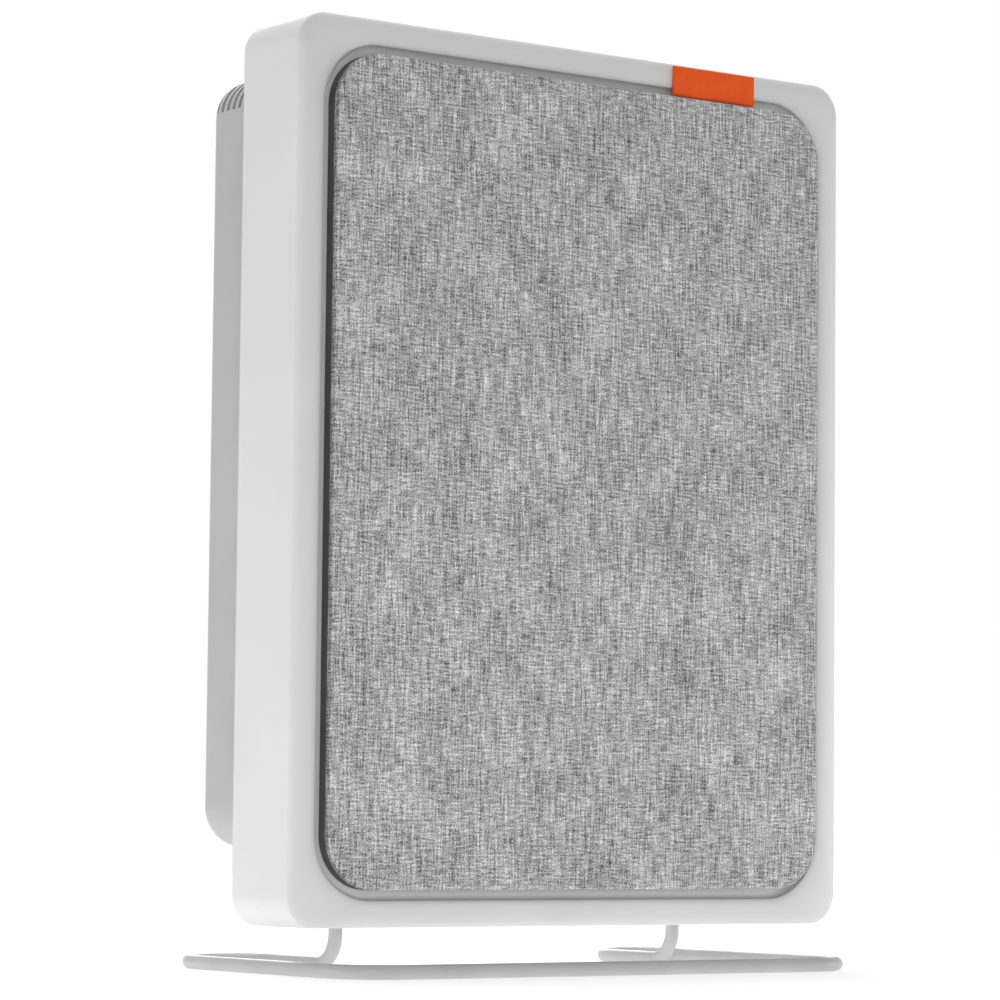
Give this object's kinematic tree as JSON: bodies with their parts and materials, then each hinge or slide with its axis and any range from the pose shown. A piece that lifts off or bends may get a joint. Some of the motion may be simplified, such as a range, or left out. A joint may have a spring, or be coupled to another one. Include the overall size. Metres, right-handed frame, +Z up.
{
  "type": "air purifier",
  "caption": "Upright air purifier with a fabric front panel, lift-out filter, shallow rear fan housing with a top grille, and a bent wire stand.",
  "frame": {"origin": "middle of the base: centred on the overall box in X and Y, with Z = 0 on the surface the wire stand rests on", "axes": "+Z up, +X to the right as the fabric front is faced, front face towards -Y"},
  "size_m": [0.339, 0.174, 0.4636],
  "materials": {
    "white_shell": "fine satin light grey-white",
    "grey_shell": "fine satin light grey",
    "linen": "heathered grey linen weave",
    "tab_strap": "flat satin orange-red",
    "tray_plastic": "matt moulded mid grey",
    "dark_plastic": "matt moulded",
    "net": "fine mesh",
    "filter_shell": "matt",
    "paper": "pleated filter paper",
    "foam": "closed-cell foam",
    "ribbon": "woven ribbon",
    "steel": "brushed",
    "plated": "polished plate",
    "windings": "enamelled copper windings",
    "board": "solder mask",
    "clear": "clear moulded light pipe",
    "wire": "satin light grey coating"
  },
  "bodies": {
    "body": {"front_casing": "white_shell", "chassis_plate": "white_shell", "rear_housing": "grey_shell", "bell_mouth": "dark_plastic", "inlet_guard": "dark_plastic", "scroll_housing": "dark_plastic", "motor_stator": "windings", "motor_base": "steel", "bearing_front": "plated", "bearing_rear": "plated", "control_board": "board", "tact_switch": "dark_plastic", "light_pipe": "clear", "button_bezel": "plated", "power_board": "board", "power_inlet": "dark_plastic", "particle_sensor": "dark_plastic", "wire_stand": "wire", "stand_socket_1": "grey_shell", "stand_socket_2": "grey_shell", "strike_plate_1": "steel", "casing_screw_1": "steel", "rear_screw_1": "steel", "strike_plate_2": "steel", "casing_screw_2": "steel", "rear_screw_2": "steel", "strike_plate_3": "steel", "casing_screw_3": "steel", "rear_screw_3": "steel", "strike_plate_4": "steel", "casing_screw_4": "steel", "rear_screw_4": "steel"},
    "panel": {"panel_fabric": "linen", "panel_frame": "tray_plastic", "pull_tab": "tab_strap", "panel_magnet_1": "plated", "panel_magnet_2": "plated", "panel_magnet_3": "plated", "panel_magnet_4": "plated"},
    "prefilter": {"prefilter_frame": "dark_plastic", "prefilter_net": "net"},
    "filter": {"filter_frame": "filter_shell", "filter_media": "paper", "filter_seal": "foam", "filter_ribbon": "ribbon"},
    "impeller": {"impeller": "dark_plastic", "rotor_cup": "steel", "motor_shaft": "plated", "shaft_nut": "steel"},
    "button": {"power_button": "white_shell"}
  },
  "joints": [
    {"name": "panel_pull", "type": "slide", "parent": "body", "child": "panel", "axis": [0, -1, 0], "range_m": [0, 0.18]},
    {"name": "prefilter_pull", "type": "slide", "parent": "body", "child": "prefilter", "axis": [0, -1, 0], "range_m": [0, 0.126]},
    {"name": "filter_pull", "type": "slide", "parent": "body", "child": "filter", "axis": [0, -1, 0], "range_m": [0, 0.081]},
    {"name": "impeller_spin", "type": "hinge", "parent": "body", "child": "impeller", "pos_m": [0, 0.0255, 0.213], "axis": [0, 1, 0], "continuous": true},
    {"name": "button_press", "type": "slide", "parent": "body", "child": "button", "axis": [0, 0, -1], "range_m": [0, 0.0008], "stiffness_N_per_m": 300}
  ],
  "couplings": [
    {"joint": "prefilter_pull", "follows": "panel_pull", "ratio": 0.7},
    {"joint": "filter_pull", "follows": "panel_pull", "ratio": 0.45}
  ]
}
